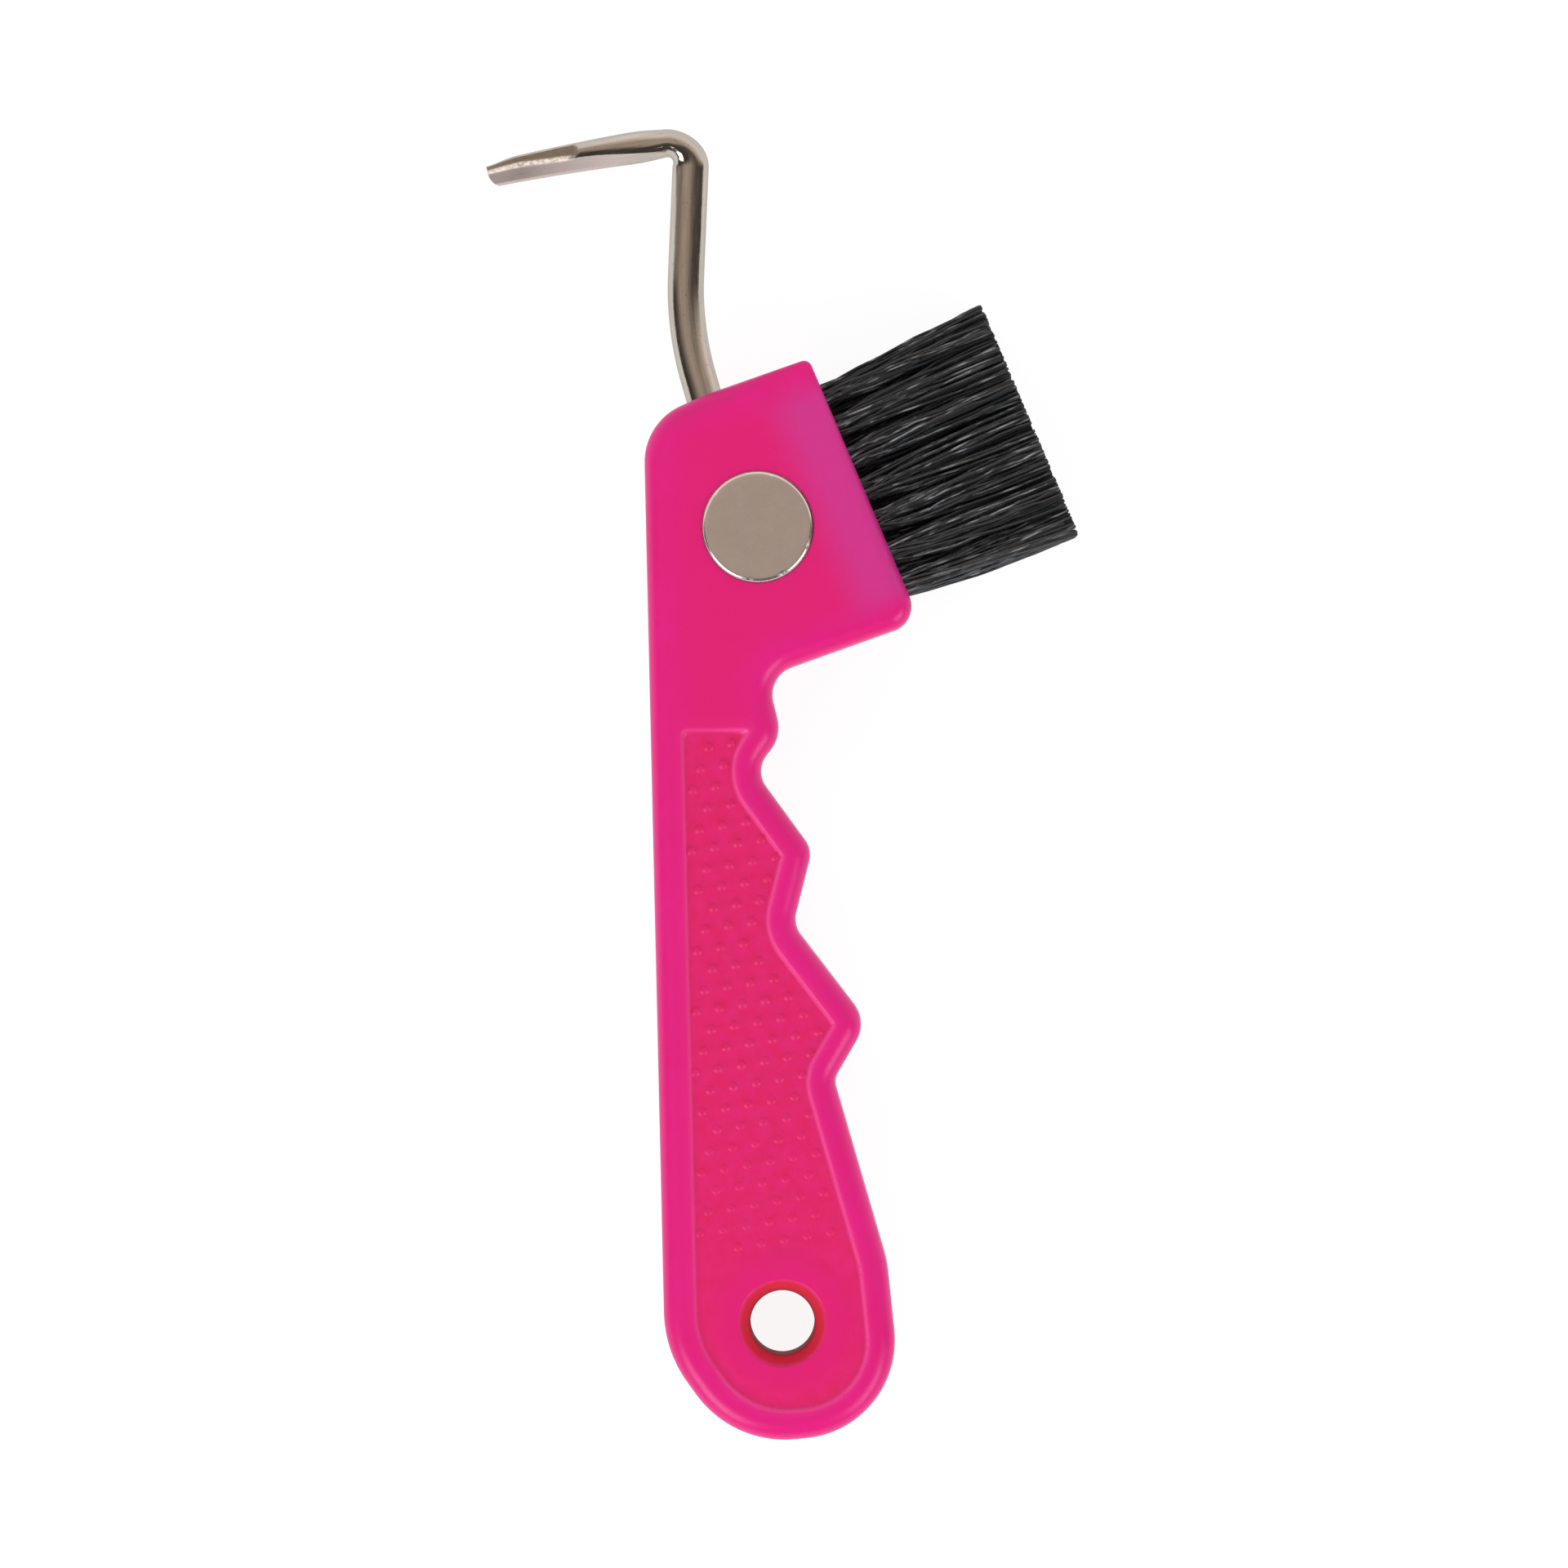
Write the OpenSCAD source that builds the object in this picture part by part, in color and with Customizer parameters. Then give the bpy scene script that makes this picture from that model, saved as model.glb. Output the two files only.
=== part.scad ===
// Hoof pick with a bristle brush and a holding magnet, lying on its back face.
// Origin: the middle of the overall length and width, on the surface that it lies on.
// +Y runs along the handle towards the pick, +X towards the brush, +Z up through the thickness.

/* [Handle] */
// Thickness of the handle, along Z
handle_thick = 18; // [17:0.5:20]
// Radius of the rounded long edges
edge_r = 2.8; // [1.6:0.1:3]
// Length of the grip, from the hollow of the neck to the end of the handle
grip_len = 105; // [100:1:115]
// Radius of the hanging hole
hole_r = 4.4; // [3:0.1:5]
// Width that the hanging hole flares out by at each mouth
hole_flare = 1.6; // [0.5:0.1:2]
// Depth of the flared mouths of the hanging hole
hole_flare_depth = 3; // [1:0.5:5]

/* [Grip panel] */
// Width of the raised rim that runs round the sunk grip panel
rim_w = 3.9; // [3.8:0.1:5]
// Depth of the sunk grip panel in each face
panel_depth = 0.6; // [0.5:0.1:1.2]
// Radius of a pimple at its foot
pimple_r = 0.7; // [0.5:0.05:0.8]
// Height of a pimple above the floor of the panel
pimple_h = 0.3; // [0.2:0.05:0.5]
// Distance between neighbouring pimples in a row
pimple_pitch = 3.2; // [2.4:0.1:6]
// Distance between neighbouring rows of pimples
pimple_row_gap = 2.95; // [2.4:0.05:6]

/* [Pick] */
// Radius of the round bar that the pick is bent from
bar_r = 2.5; // [2.2:0.1:2.6]
// Length of the shank inside the handle
shank_len = 22; // [15:1:23]
// Radius of the tight bend below the arm, to the middle of the bar
hook_bend_r = 3.2; // [3.2:0.1:4]
// Length of the arm, from the tight bend to the tip
arm_len = 24.6; // [20:0.1:28]
// Half the thickness of the forged arm where it leaves the tight bend, seen from the front
arm_half = 1.95; // [1.8:0.05:2.1]
// Length of the ground blade at the tip
blade_len = 11; // [8:0.5:13]

/* [Magnet] */
// Radius of the magnet disc
magnet_r = 7.5; // [5:0.1:7.5]
// Thickness of the magnet disc
magnet_thick = 4; // [3:0.1:4.5]
// Height that the magnet stands proud of the handle
magnet_proud = 0.4; // [0:0.1:1]

/* [Brush] */
// Number of tufts in the front row and in the back row
tuft_count = 7; // [5:1:7]
// Distance between neighbouring tufts in a row
tuft_pitch = 4.7; // [4.6:0.1:4.7]
// Distance between neighbouring rows, along Z
row_pitch = 4.6; // [4.4:0.1:4.6]
// Radius of a tuft where it leaves the handle
tuft_r = 1.7; // [1.4:0.05:1.7]
// Radius of a tuft at its cut ends
tuft_tip_r = 2.3; // [1.8:0.05:2.3]
// Free length of the bristles
bristle_len = 24.8; // [18:0.1:30]
// Depth of the tuft holes
tuft_hole_depth = 7.5; // [6:0.1:7.5]

/* [Hidden] */
$fn = 48;
ROWS = ["front", "middle", "back"];
eps = 0.01;
mid_z = handle_thick / 2;

// Handle outline, anticlockwise: X, Y, corner radius, radius of the rounded edge there.
neck_y = 15;
function grip_y(y) = neck_y + (y - neck_y) * grip_len / 105;
head_tip = [3.6, 58.3];
head_foot = [18.9, 22.3];
outline_corners = [
    [head_tip.x, head_tip.y, 1.2, 0.9],        // head, above the brush
    [-10.3, 53.5, 7.5, edge_r],                // head, where the pick goes in
    [-19.1, 49.6, 8.5, edge_r],                // head, back shoulder
    [-16.2, grip_y(-77.7), 17, edge_r],        // end, back side
    [-6.9, grip_y(-90.6), 15, edge_r],
    [16.8, grip_y(-88.5), 13.5, edge_r],       // end, finger side
    [14.4, grip_y(-65.5), 17, edge_r],
    [7.1, grip_y(-40.5), 2.5, edge_r],         // third hollow
    [11.7, grip_y(-32.6), 4.5, edge_r],        // third wave
    [1.5, grip_y(-19.3), 3.5, edge_r],         // second hollow
    [4.1, grip_y(-9), 3.5, edge_r],            // second wave
    [-3.8, grip_y(1.8), 3.5, edge_r],          // first hollow
    [-0.1, grip_y(6.6), 5, edge_r],            // first wave
    [-2.1, neck_y - 0.2, 4, edge_r],           // neck, under the head
    [head_foot.x, head_foot.y, 3.5, 2.4]       // head, below the brush
];
arc_step = 8;
edge_steps = 5;

hole_pos = [0, grip_y(-73.8)];
boss_r = 9.5;
boss_h = 0.3;
panel_top = grip_y(7.5);
panel_shift = 0.3;
pimple_end = grip_y(-63.5);
pimple_margin = 0.15;
pimple_start = [-10.15, grip_y(5.1)];
pimple_row_tilt = 9.5;
pimple_row_shift = -1.1;

magnet_pos = [-3.4, 35.2];
magnet_bevel = 0.4;
magnet_gap = 0.1;

// Route of the pick: start of the long bend above the head, then headings in degrees from +X.
pick_start = [-11.6, 56];
shank_heading = 106;
upright_heading = 87.6;
long_bend_r = 44;
upright_len = 14.8;
arm_heading = 188;
tip_heading = 192.5;
shank_reach = shank_len + 3;  // from the start of the long bend to the shank's inner end
wing_reach = 4;
wing_thick = 2.4;
wing_len = 8;

// Seat of the brush: the slanted edge of the head, from its foot to its tip.
seat_dir = unit(head_tip - head_foot);
seat_normal = [seat_dir.y, -seat_dir.x];
seat_mid = (head_tip + head_foot) / 2;
tuft_gap = 0.05;
tuft_lean = 2.6;
row_lean = 2;
tuft_overlap = 0.8;
anchor_size = [4.2, 0.5, 1.6];
anchor_rise = 0.4;

function unit(v) = v / norm(v);
function heading(a) = [cos(a), sin(a)];
function wrap(list, i) = list[(i + len(list)) % len(list)];
function xy(p) = [p.x, p.y];
function row_count(row) = tuft_count - (row == 1 ? 1 : 0);
function tuft_names(kind) = [
    for (row = [0:2]) for (i = [1:row_count(row)]) str(kind, "_", ROWS[row], "_", i)
];

// One rounded corner q, met from p and left towards s: [x, y, normal x, normal y, edge radius].
function corner_arc(p, q, s) =
    let (
        u = unit(xy(p) - xy(q)),
        v = unit(xy(s) - xy(q)),
        half = acos(u * v) / 2,
        side = sign(cross(v, u)),
        first = xy(q) + u * q[2] / tan(half),
        centre = xy(q) + unit(u + v) * q[2] / sin(half),
        a0 = atan2(first.y - centre.y, first.x - centre.x),
        turn = 180 - 2 * half,
        n = max(2, ceil(turn / arc_step))
    )
    [for (i = [0:n]) let (d = heading(a0 + side * turn * i / n))
        [centre.x + q[2] * d.x, centre.y + q[2] * d.y, side * d.x, side * d.y, q[3]]];

function rounded(corners) = [
    for (i = [0:len(corners) - 1])
        each corner_arc(wrap(corners, i - 1), corners[i], wrap(corners, i + 1))
];

// Distance of point p inside a closed outline, or below zero when p is outside it.
function segment_gap(p, a, b) =
    let (t = max(0, min(1, (p - a) * (b - a) / ((b - a) * (b - a)))))
    norm(p - a - t * (b - a));
function crosses(p, a, b) =
    (a.y > p.y) != (b.y > p.y) && p.x < a.x + (b.x - a.x) * (p.y - a.y) / (b.y - a.y);
function inside_by(p, outline) =
    let (
        n = len(outline),
        gap = min([for (i = [0:n - 1]) segment_gap(p, outline[i], outline[(i + 1) % n])]),
        hits = len([for (i = [0:n - 1]) if (crosses(p, outline[i], outline[(i + 1) % n])) i])
    )
    hits % 2 == 1 ? gap : -gap;

outline = rounded(outline_corners);

// Section through a rounded edge, from the back face round to the front face: [inset, z].
function edge_profile(e) = [
    for (k = [0:edge_steps]) let (a = 90 * k / edge_steps) [e * (1 - sin(a)), e * (1 - cos(a))],
    for (k = [edge_steps:-1:0])
        let (a = 90 * k / edge_steps) [e * (1 - sin(a)), handle_thick - e * (1 - cos(a))]
];

// The rounded edge band of the handle, as a ring round its flat core.
module edge_band() {
    n = len(outline);
    m = 2 * (edge_steps + 1);
    points = [
        for (p = outline) for (s = edge_profile(p[4])) [p.x - p[2] * s.x, p.y - p[3] * s.x, s.y]
    ];
    faces = [
        for (i = [0:n - 1]) for (j = [0:m - 1])
            let (a = i * m, b = (i + 1) % n * m, k = (j + 1) % m)
            each [[a + j, a + k, b + j], [a + k, b + k, b + j]]
    ];
    polyhedron(points, faces, convexity = 10);
}

module core() {
    linear_extrude(handle_thick)
        polygon([for (p = outline) [p.x - p[2] * p[4], p.y - p[3] * p[4]]]);
}

module panel_outline() {
    intersection() {
        translate([panel_shift, 0]) offset(r = -rim_w) polygon([for (p = outline) xy(p)]);
        translate([-50, panel_top - 200]) square([100, 200]);
    }
}

// The raised pimples of one face, standing on z = 0 where they are inside the panel.
module pimples() {
    shape = [for (p = outline) xy(p)];
    margin = rim_w + pimple_r + pimple_margin;
    rows = floor((pimple_start.y - pimple_end) / pimple_row_gap);
    for (row = [-2:rows + 4]) for (i = [-4:14]) {
        pos = pimple_start + row * [pimple_row_shift, -pimple_row_gap]
            + i * pimple_pitch * heading(pimple_row_tilt);
        in_rows = pos.y < panel_top - pimple_r - pimple_margin && pos.y > pimple_end;
        if (in_rows && inside_by(pos - [panel_shift, 0], shape) > margin)
            translate([pos.x, pos.y, -eps])
                cylinder(h = pimple_h + eps, r1 = pimple_r, r2 = pimple_r * 0.55);
    }
}

// Everything that is sunk into one face: the grip panel less its pimples and its boss.
module panel_cut() {
    difference() {
        linear_extrude(panel_depth + 1) panel_outline();
        translate([hole_pos.x, hole_pos.y, -eps]) cylinder(h = boss_h + eps, r = boss_r);
        pimples();
    }
}

module hanging_hole() {
    sink = panel_depth - boss_h;
    translate([hole_pos.x, hole_pos.y, -1]) cylinder(h = handle_thick + 2, r = hole_r);
    reach = hole_flare_depth + 1;
    for (face = [0, 1])
        translate([hole_pos.x, hole_pos.y, mid_z]) mirror([0, 0, face])
            translate([0, 0, mid_z - sink - hole_flare_depth])
                cylinder(h = reach, r1 = hole_r, r2 = hole_r + hole_flare * reach / hole_flare_depth);
}

// Moves its children from the origin, with +Z outwards, to the foot of one tuft on the seat.
module on_seat(row, i) {
    along = (i - (row_count(row) + 1) / 2) * tuft_pitch;
    foot = seat_mid + along * seat_dir;
    translate([foot.x, foot.y, mid_z + (1 - row) * row_pitch])
        multmatrix([
            [seat_dir.x, 0, seat_normal.x, 0],
            [seat_dir.y, 0, seat_normal.y, 0],
            [0, -1, 0, 0]
        ])
            children();
}

module tuft_hole(row, i) {
    on_seat(row, i) {
        translate([0, 0, -tuft_hole_depth]) cylinder(h = tuft_hole_depth + 3, r = tuft_r + tuft_gap);
        anchor_shape();
    }
}

// The flat metal staple that the tuft is folded over.
module anchor_shape() {
    translate([-anchor_size.x / 2, -anchor_size.y / 2, -tuft_hole_depth + anchor_rise])
        cube(anchor_size);
}

module anchor(row, i) {
    color("silver") on_seat(row, i) anchor_shape();
}

module tuft(row, i) {
    middle = (row_count(row) + 1) / 2;
    lean_along = tuft_lean * (i - middle) / (middle - 1);
    lean_out = row_lean * (row - 1);
    color("#1c1c1e") on_seat(row, i) difference() {
        union() {
            translate([0, 0, -tuft_hole_depth]) cylinder(h = tuft_hole_depth, r = tuft_r);
            rotate([-lean_out, lean_along, 0]) translate([0, 0, -tuft_overlap])
                cylinder(h = bristle_len + tuft_overlap, r1 = tuft_r - 0.1, r2 = tuft_tip_r);
        }
        anchor_shape();
    }
}

module handle() {
    color("#e81e7d") difference() {
        union() {
            edge_band();
            difference() {
                core();
                translate([0, 0, handle_thick - panel_depth]) panel_cut();
                translate([0, 0, panel_depth]) mirror([0, 0, 1]) panel_cut();
                hanging_hole();
                translate([magnet_pos.x, magnet_pos.y, handle_thick + magnet_proud - magnet_thick])
                    cylinder(h = magnet_thick + 1, r = magnet_r + magnet_gap);
            }
        }
        shank();
        for (row = [0:2]) for (i = [1:row_count(row)]) tuft_hole(row, i);
    }
}

module magnet() {
    r = magnet_r;
    t = magnet_thick;
    b = magnet_bevel;
    color("#c9c0b8") translate([magnet_pos.x, magnet_pos.y, handle_thick + magnet_proud - t])
        rotate_extrude()
            polygon([[0, 0], [r - b, 0], [r, b], [r, t - b], [r - b, t], [0, t]]);
}

// The straight shank in the head, with two forged wings that stop it turning.
module shank() {
    translate([pick_start.x, pick_start.y, mid_z]) rotate([0, 0, shank_heading]) {
        translate([-shank_reach, 0, 0]) rotate([0, 90, 0]) cylinder(h = shank_reach, r = bar_r);
        translate([-shank_len + wing_len / 2, 0, 0])
            cube([wing_len, 2 * wing_reach, wing_thick], center = true);
    }
}

// Route above the shank: [x, y, heading, half thickness in the plane, half width along Z].
long_bend_steps = 8;
hook_steps = 12;
arm_steps = 8;
arm_swell = 0.38;
arm_taper = 0.6;
sweep_r = bar_r - 0.02;
long_bend_mid = pick_start + long_bend_r * heading(shank_heading - 90);
upright_start = long_bend_mid - long_bend_r * heading(upright_heading - 90);
upright_end = upright_start + upright_len * heading(upright_heading);
hook_mid = upright_end + hook_bend_r * heading(upright_heading + 90);
hook_end = hook_mid + hook_bend_r * heading(arm_heading - 90);
arm_bend_r = arm_len / ((tip_heading - arm_heading) * PI / 180);
arm_mid = hook_end + arm_bend_r * heading(arm_heading + 90);
function station(pos, a, half) = [pos.x, pos.y, a, half, sweep_r * sweep_r / half];
pick_stations = [
    station(pick_start - heading(shank_heading), shank_heading, sweep_r),
    for (k = [0:long_bend_steps])
        let (a = shank_heading + (upright_heading - shank_heading) * k / long_bend_steps)
        station(long_bend_mid - long_bend_r * heading(a - 90), a, sweep_r),
    for (k = [0:hook_steps])
        let (
            t = k / hook_steps,
            a = upright_heading + (arm_heading - upright_heading) * t,
            blend = (1 - cos(180 * min(1, 1.3 * t))) / 2
        )
        station(hook_mid + hook_bend_r * heading(a - 90), a, sweep_r + (arm_half - sweep_r) * blend),
    for (k = [1:arm_steps])
        let (
            t = k / arm_steps,
            a = arm_heading + (tip_heading - arm_heading) * t,
            half = arm_half + arm_swell * sin(90 * min(1, 5 * t)) - arm_taper * t
        )
        station(arm_mid + arm_bend_r * heading(a - 90), a, half)
];

// A tube with an oval section through a list of stations.
module oval_sweep(stations, sides = 28) {
    n = len(stations);
    points = [
        for (s = stations) for (k = [0:sides - 1])
            let (a = 360 * k / sides, d = heading(s[2] - 90) * s[3] * cos(a))
            [s.x + d.x, s.y + d.y, mid_z + s[4] * sin(a)]
    ];
    walls = [
        for (i = [0:n - 2]) for (k = [0:sides - 1])
            let (a = i * sides, b = a + sides, j = (k + 1) % sides)
            each [[a + k, a + j, b + k], [a + j, b + j, b + k]]
    ];
    ends = [[for (k = [sides - 1:-1:0]) k], [for (k = [0:sides - 1]) (n - 1) * sides + k]];
    polyhedron(points, concat(walls, ends), convexity = 6);
}

// Moves its children to the start of the blade, with +X towards the tip and +Y to the outer side.
module at_blade() {
    a = tip_heading - 1;
    start = arm_mid + arm_bend_r * heading(tip_heading - 90) - blade_len * heading(a);
    translate([start.x, start.y, mid_z]) rotate([0, 0, a]) mirror([0, 1, 0]) children();
}

// Flats ground on both faces of the blade, which meet in a ridge, and the slanted end of the tip.
ridge_start = -0.6;
ridge_rise = 10;
ridge_z = 2.6;
outer_tilt = 24;
inner_tilt = 16;
tip_slant = 28;
module blade_grinding() {
    at_blade() {
        for (face = [0, 1]) mirror([0, 0, face])
            for (tilt = [-outer_tilt, inner_tilt])
                translate([0, ridge_start, ridge_z]) rotate([0, 0, ridge_rise]) rotate([tilt, 0, 0])
                    translate([0, -10, 0]) cube([blade_len + 10, 20, 6]);
        translate([blade_len - 1, 0, 0]) rotate([0, 0, -tip_slant])
            translate([0, -10, -10]) cube([10, 20, 20]);
    }
}

module pick() {
    color("#a89c90") {
        shank();
        difference() {
            oval_sweep(pick_stations);
            blade_grinding();
        }
    }
}

handle();
pick();
magnet();
for (row = [0:2]) for (i = [1:row_count(row)]) {
    tuft(row, i);
    anchor(row, i);
}
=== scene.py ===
import math

import bmesh
import bpy
import numpy as np
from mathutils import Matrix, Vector
from mathutils.geometry import delaunay_2d_cdt


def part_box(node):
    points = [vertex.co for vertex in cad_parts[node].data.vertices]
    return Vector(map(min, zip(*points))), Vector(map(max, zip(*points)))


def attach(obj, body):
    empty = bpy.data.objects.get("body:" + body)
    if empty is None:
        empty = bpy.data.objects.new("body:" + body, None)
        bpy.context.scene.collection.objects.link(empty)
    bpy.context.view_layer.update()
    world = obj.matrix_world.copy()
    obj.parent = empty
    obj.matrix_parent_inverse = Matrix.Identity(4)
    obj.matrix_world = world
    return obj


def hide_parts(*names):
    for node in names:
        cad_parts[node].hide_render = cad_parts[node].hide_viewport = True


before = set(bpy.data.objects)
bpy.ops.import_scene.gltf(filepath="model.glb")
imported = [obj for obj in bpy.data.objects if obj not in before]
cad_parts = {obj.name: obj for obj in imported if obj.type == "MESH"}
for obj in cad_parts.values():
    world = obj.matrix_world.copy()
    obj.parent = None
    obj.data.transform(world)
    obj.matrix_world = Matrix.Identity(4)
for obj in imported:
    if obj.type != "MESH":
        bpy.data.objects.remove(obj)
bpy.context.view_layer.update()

# All sizes and places below are in millimetres unless a name says otherwise. Meshes are made in metres.
MM = 0.001
rng = np.random.default_rng(11)


def node_box(name):
    """Lowest and highest corner of a CAD node, in millimetres."""
    low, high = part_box(name)
    return np.array(low) / MM, np.array(high) / MM


# ---------------------------------------------------------------------------------------------
# Sizes that the visual model shares with the CAD model
# ---------------------------------------------------------------------------------------------
HANDLE_LOW, HANDLE_HIGH = node_box("handle")
THICK = HANDLE_HIGH[2]
MID_Z = THICK / 2
EDGE_R = 2.8
RIM_W = 3.9
PANEL_DEPTH = 0.6
PANEL_TOP = 7.5
PANEL_SHIFT = 0.3
HOLE = np.array([0.0, -73.8])
HOLE_R = 4.4
FLARE = 1.6
FLARE_DEPTH = 3.0
BOSS_R = 9.5
BOSS_H = 0.3
MAGNET_LOW, MAGNET_HIGH = node_box("magnet")
MAGNET = (MAGNET_LOW[:2] + MAGNET_HIGH[:2]) / 2
MAGNET_R = (MAGNET_HIGH[0] - MAGNET_LOW[0]) / 2
SEAT_GAP = 0.12

HEAD_TIP = np.array([3.6, 58.3])
HEAD_FOOT = np.array([18.9, 22.3])
CORNERS = [  # X, Y, corner radius, radius of the rounded edge there; anticlockwise
    (3.6, 58.3, 1.2, 0.9),            # head, above the brush
    (-10.3, 53.5, 7.5, EDGE_R),       # head, where the pick goes in
    (-19.1, 49.6, 8.5, EDGE_R),       # head, back shoulder
    (-16.2, -77.7, 17.0, EDGE_R),     # end, back side
    (-6.9, -90.6, 15.0, EDGE_R),
    (16.8, -88.5, 13.5, EDGE_R),      # end, finger side
    (14.4, -65.5, 17.0, EDGE_R),
    (7.1, -40.5, 2.5, EDGE_R),        # third hollow
    (11.7, -32.6, 4.5, EDGE_R),       # third wave
    (1.5, -19.3, 3.5, EDGE_R),        # second hollow
    (4.1, -9.0, 3.5, EDGE_R),         # second wave
    (-3.8, 1.8, 3.5, EDGE_R),         # first hollow
    (-0.1, 6.6, 5.0, EDGE_R),         # first wave
    (-2.1, 14.8, 4.0, EDGE_R),        # neck, under the head
    (18.9, 22.3, 3.5, 2.4),           # head, below the brush
]
SKIN = 0.05  # the smooth outline stays this far inside the true one, and so inside the CAD box
# How far each ring of the parting line is from the middle plane, and how proud it is there.
PARTING_HALF = ((0.5, 0.0), (0.2, 0.006), (0.08, 0.03))
PARTING_LINE = (*PARTING_HALF, (0.0, 0.04), *((-away, proud) for away, proud in PARTING_HALF[::-1]))

PIMPLE_R = 0.7
PIMPLE_H = 0.3
PIMPLE_START = np.array([-10.15, 5.1])
PIMPLE_ALONG = 3.2 * np.array([math.cos(math.radians(9.5)), math.sin(math.radians(9.5))])
PIMPLE_DOWN = np.array([-1.1, -2.95])
PIMPLE_END = -63.5
PIMPLE_MARGIN = 0.15

SEAT_DIR = (HEAD_TIP - HEAD_FOOT) / np.linalg.norm(HEAD_TIP - HEAD_FOOT)
SEAT_OUT = np.array([SEAT_DIR[1], -SEAT_DIR[0]])
SEAT_MID = (HEAD_TIP + HEAD_FOOT) / 2
ROWS = (("front", 7), ("middle", 6), ("back", 7))
TUFT_PITCH = 4.7
ROW_PITCH = 4.6
TUFT_R = 1.7
TUFT_LEAN = 2.6
ROW_LEAN = 2.0
TUFT_HOLE_DEPTH = 7.5
BRISTLE_LEN = 24.8


# ---------------------------------------------------------------------------------------------
# Mesh helpers
# ---------------------------------------------------------------------------------------------
SHARP_DEG = 38.0


class Shell:
    """Collects vertices and faces of one mesh, in millimetres."""

    def __init__(self):
        self.verts = []
        self.faces = []

    def add(self, points):
        """Adds points, and gives the list of their vertex numbers."""
        first = len(self.verts)
        self.verts.extend(tuple(map(float, p)) for p in points)
        return list(range(first, len(self.verts)))

    def bridge(self, a, b):
        """Faces between two closed rings of vertices."""
        for i in range(len(a)):
            j = (i + 1) % len(a)
            self.faces.append((a[i], a[j], b[j], b[i]))

    def build(self, name, sharp_deg=SHARP_DEG):
        """The object, with outward normals and with edges sharper than sharp_deg left sharp."""
        mesh = bpy.data.meshes.new(name)
        mesh.from_pydata([(x * MM, y * MM, z * MM) for x, y, z in self.verts], [], self.faces)
        work = bmesh.new()
        work.from_mesh(mesh)
        bmesh.ops.recalc_face_normals(work, faces=work.faces)
        work.to_mesh(mesh)
        work.free()
        mesh.shade_smooth()
        mesh.set_sharp_from_angle(angle=math.radians(sharp_deg))
        piece = bpy.data.objects.new(name, mesh)
        bpy.context.scene.collection.objects.link(piece)
        return piece


def smoothstep(x):
    """A soft step that rises from 0 to 1 while x does."""
    x = np.clip(x, 0.0, 1.0)
    return x * x * (3.0 - 2.0 * x)


def smooth_min(a, b, k):
    """The smaller of a and b, with the change from one to the other rounded over about k."""
    h = np.clip(0.5 + 0.5 * (b - a) / k, 0.0, 1.0)
    return b + (a - b) * h - k * h * (1.0 - h)


def set_attribute(mesh, name, values):
    layer = mesh.attributes.new(name, "FLOAT", "POINT")
    layer.data.foreach_set("value", np.asarray(values, np.float32))


def mesh_points(mesh):
    co = np.zeros(len(mesh.vertices) * 3, np.float32)
    mesh.vertices.foreach_get("co", co)
    return co.reshape(-1, 3) / MM


# ---------------------------------------------------------------------------------------------
# Outline of the handle
# ---------------------------------------------------------------------------------------------
def rounded_outline(corners, step):
    """Points, outward normals and edge radii round a polygon with rounded corners."""
    pos, nrm, edge = [], [], []
    count = len(corners)
    for i in range(count):
        p = np.array(corners[i - 1][:2])
        q = np.array(corners[i][:2])
        s = np.array(corners[(i + 1) % count][:2])
        r, e = corners[i][2:]
        u = (p - q) / np.linalg.norm(p - q)
        v = (s - q) / np.linalg.norm(s - q)
        half = math.acos(float(u @ v)) / 2
        side = math.copysign(1.0, v[0] * u[1] - v[1] * u[0])
        centre = q + (u + v) / np.linalg.norm(u + v) * r / math.sin(half)
        first = q + u * r / math.tan(half) - centre
        a0 = math.atan2(first[1], first[0])
        turn = math.pi - 2 * half
        n = max(3, math.ceil(turn * r / step), math.ceil(math.degrees(turn) / 7))
        for k in range(n + 1):
            a = a0 + side * turn * k / n
            d = np.array([math.cos(a), math.sin(a)])
            pos.append(centre + r * d)
            nrm.append(side * d)
            edge.append(e)
    pos, nrm, edge = np.array(pos), np.array(nrm), np.array(edge)
    out = [[], [], []]
    for i in range(len(pos)):
        j = (i + 1) % len(pos)
        gap = np.linalg.norm(pos[j] - pos[i])
        n = max(1, math.ceil(gap / step))
        for k in range(n):
            t = k / n
            out[0].append(pos[i] + (pos[j] - pos[i]) * t)
            d = nrm[i] + (nrm[j] - nrm[i]) * t
            out[1].append(d / np.linalg.norm(d))
            out[2].append(edge[i] + (edge[j] - edge[i]) * float(smoothstep(t)))
    pos, nrm, edge = (np.array(x) for x in out)
    return pos - nrm * SKIN, nrm, edge


OUT_POS, OUT_NRM, OUT_EDGE = rounded_outline(CORNERS, 0.8)


def inside_distance(points, loop=OUT_POS):
    """Distance from each point to a closed loop, positive inside it."""
    a, b = loop, np.roll(loop, -1, 0)
    d = b - a
    length = (d**2).sum(1)
    best = np.full(len(points), 1e9)
    odd = np.zeros(len(points), bool)
    for chunk in np.array_split(np.arange(len(points)), max(1, len(points) // 2000)):
        p = points[chunk]
        w = p[:, None, :] - a[None]
        t = np.clip((w * d[None]).sum(2) / length, 0, 1)
        off = w - t[..., None] * d[None]
        best[chunk] = np.sqrt((off**2).sum(2).min(1))
        up = (a[None, :, 1] > p[:, None, 1]) != (b[None, :, 1] > p[:, None, 1])
        with np.errstate(divide="ignore", invalid="ignore"):
            cross = a[:, 0] + d[:, 0] * (p[:, None, 1] - a[:, 1]) / d[:, 1]
        odd[chunk] = (up & (p[:, None, 0] < cross)).sum(1) % 2 == 1
    return np.where(odd, best, -best)


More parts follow.
